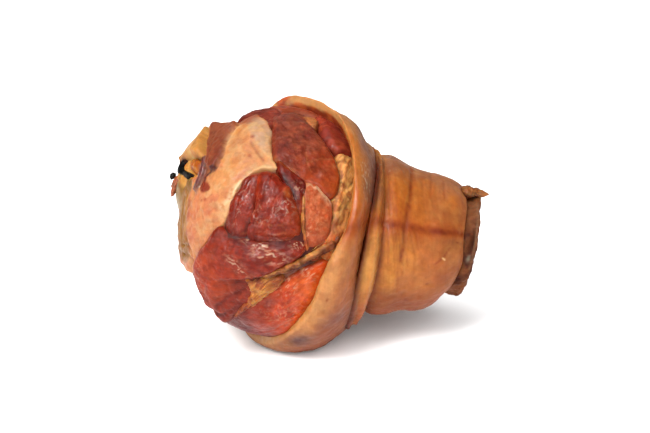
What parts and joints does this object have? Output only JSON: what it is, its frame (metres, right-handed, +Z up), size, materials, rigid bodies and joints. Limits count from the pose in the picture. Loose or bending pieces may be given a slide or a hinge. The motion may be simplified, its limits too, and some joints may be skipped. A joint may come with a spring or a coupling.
{
  "type": "smoked pork knuckle",
  "caption": "Smoked pork knuckle on its side: a folded rind sleeve with a rolled collar, bare muscle and fat at the wide cut end, and the shank bone from joint head to saw cut.",
  "frame": {"origin": "on the table, under the middle of the whole knuckle's bounding box", "axes": "+X along the shank towards the narrow sawn hock end, +Z up, -Y towards the side on which the cut face and the folds show best"},
  "size_m": [0.163, 0.1264, 0.1267],
  "materials": {
    "meat_and_rind": "cured and smoked pork: golden-brown to pinkish-tan rind with a soft sheen, moist dark red muscle and peach to cream fat",
    "shank_bone": "smoke-stained bone and cartilage, yellow-cream and slightly moist, with a rough sawn end"
  },
  "bodies": {
    "root": {"meat_and_rind": "meat_and_rind", "shank_bone": "shank_bone"}
  },
  "joints": []
}
